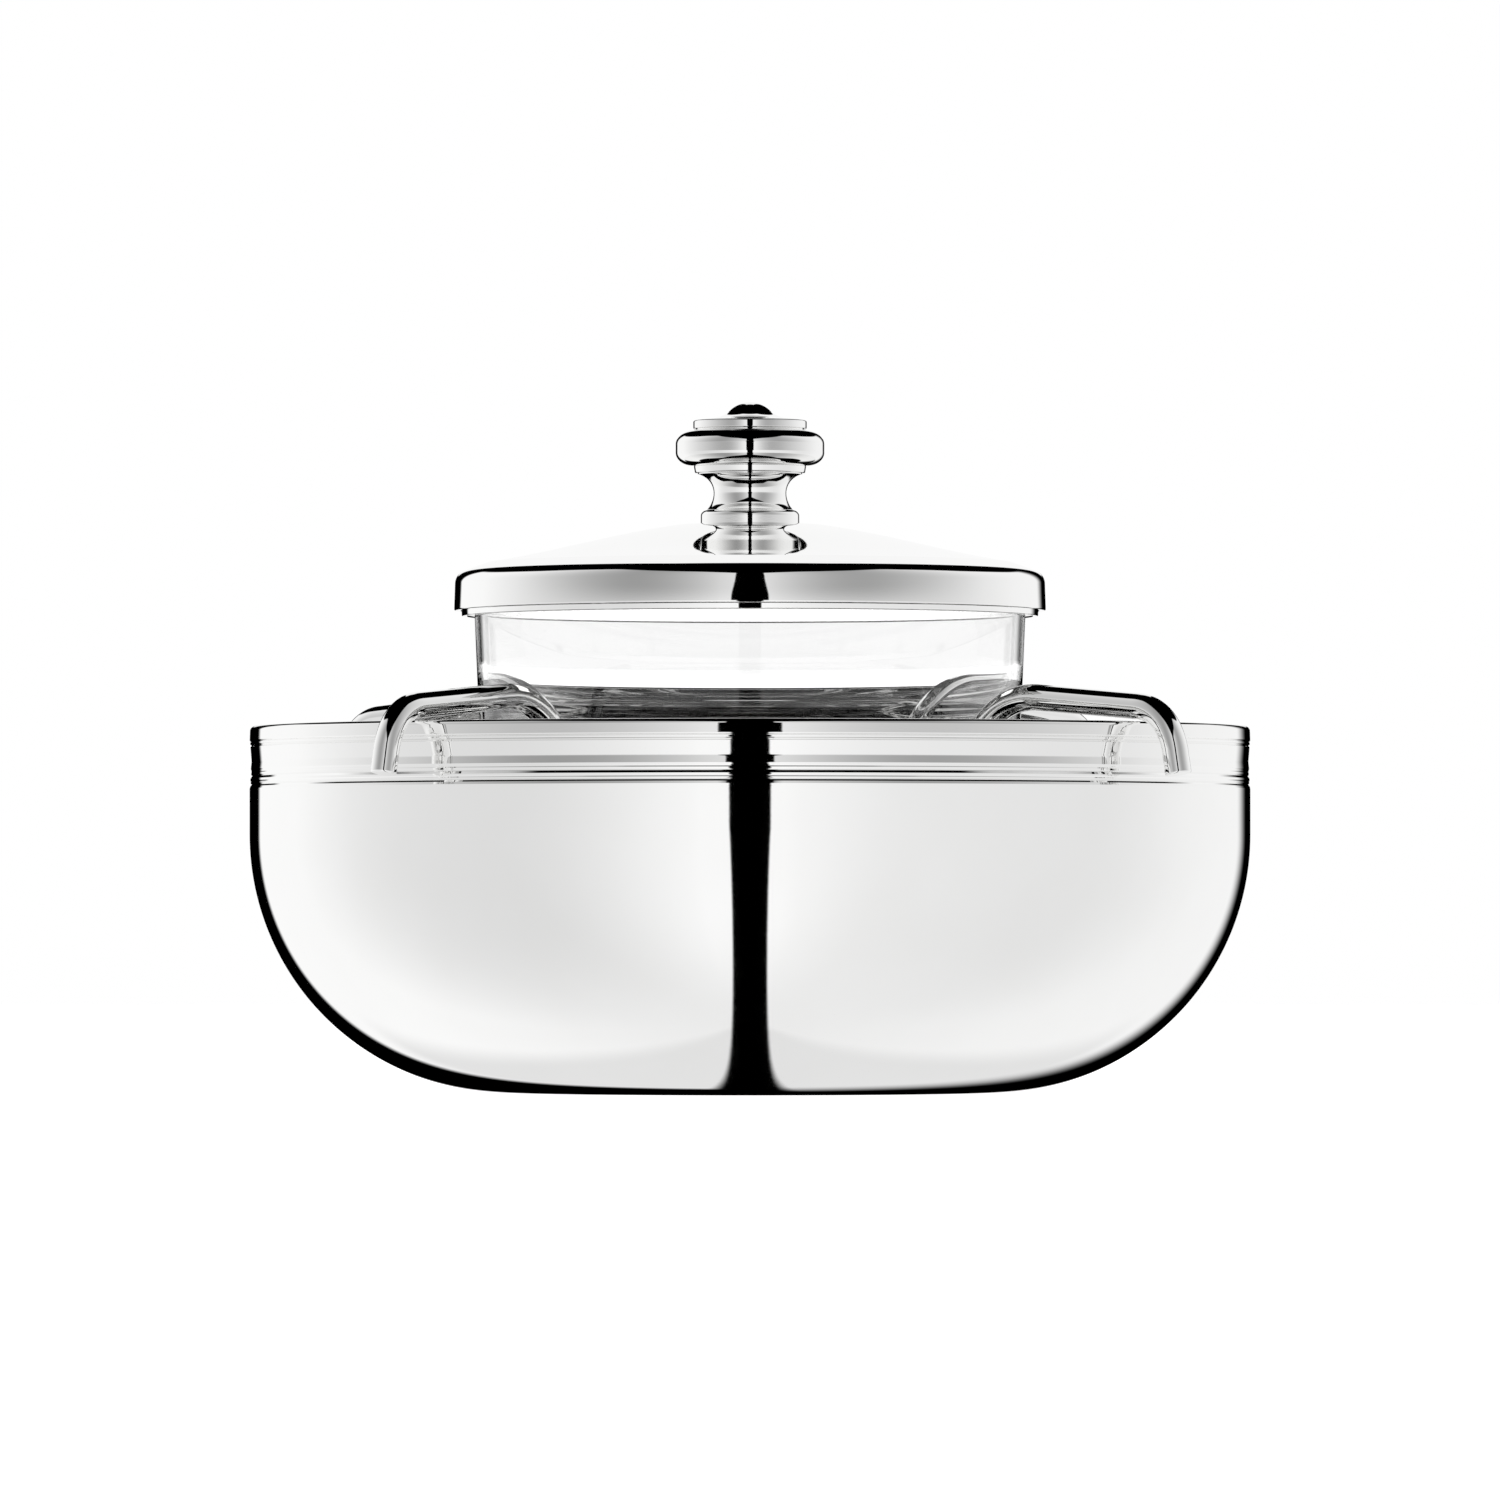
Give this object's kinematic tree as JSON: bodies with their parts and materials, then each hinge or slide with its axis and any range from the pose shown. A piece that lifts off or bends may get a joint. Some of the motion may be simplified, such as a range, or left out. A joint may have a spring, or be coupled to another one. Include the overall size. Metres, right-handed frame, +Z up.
{
  "type": "iced serving bowl",
  "caption": "Deep round metal bowl for ice with a clear dish hung inside it on a rod cradle hooked over the rim, and a domed metal lid with a turned knob.",
  "frame": {"origin": "centre of the bowl's underside, on the surface it stands on", "axes": "+Z up along the axis of the bowl and knob; -Y towards the viewer"},
  "size_m": [0.19, 0.19, 0.1312],
  "materials": {
    "bowl_silver": "polished silver plate, mirror bright",
    "rod_silver": "polished silver plate on bent rod",
    "lid_silver": "polished silver plate, spun",
    "knob_silver": "polished silver plate, turned",
    "fastener_steel": "plain machined",
    "dish_glass": "clear, polished"
  },
  "bodies": {
    "bowl": {"bowl_body": "bowl_silver", "rim_wire": "bowl_silver"},
    "cradle": {"arm_front_right": "rod_silver", "arm_front_left": "rod_silver", "arm_rear_left": "rod_silver", "arm_rear_right": "rod_silver", "seat_ring": "rod_silver"},
    "dish": {"glass_dish": "dish_glass"},
    "lid": {"lid_dome": "lid_silver", "lid_band": "lid_silver", "lid_locator": "lid_silver", "knob_foot": "knob_silver", "knob_neck": "knob_silver", "knob_collar": "knob_silver", "knob_bun": "knob_silver", "knob_button": "knob_silver", "knob_stud": "fastener_steel", "knob_washer": "fastener_steel", "knob_nut": "fastener_steel"}
  },
  "joints": [
    {"name": "cradle_lift", "type": "slide", "parent": "bowl", "child": "cradle", "axis": [0, 0, 1], "range_m": [0, 0.09]},
    {"name": "dish_lift", "type": "slide", "parent": "cradle", "child": "dish", "axis": [0, 0, 1], "range_m": [0, 0.06]},
    {"name": "lid_lift", "type": "slide", "parent": "dish", "child": "lid", "axis": [0, 0, 1], "range_m": [0, 0.06]}
  ]
}
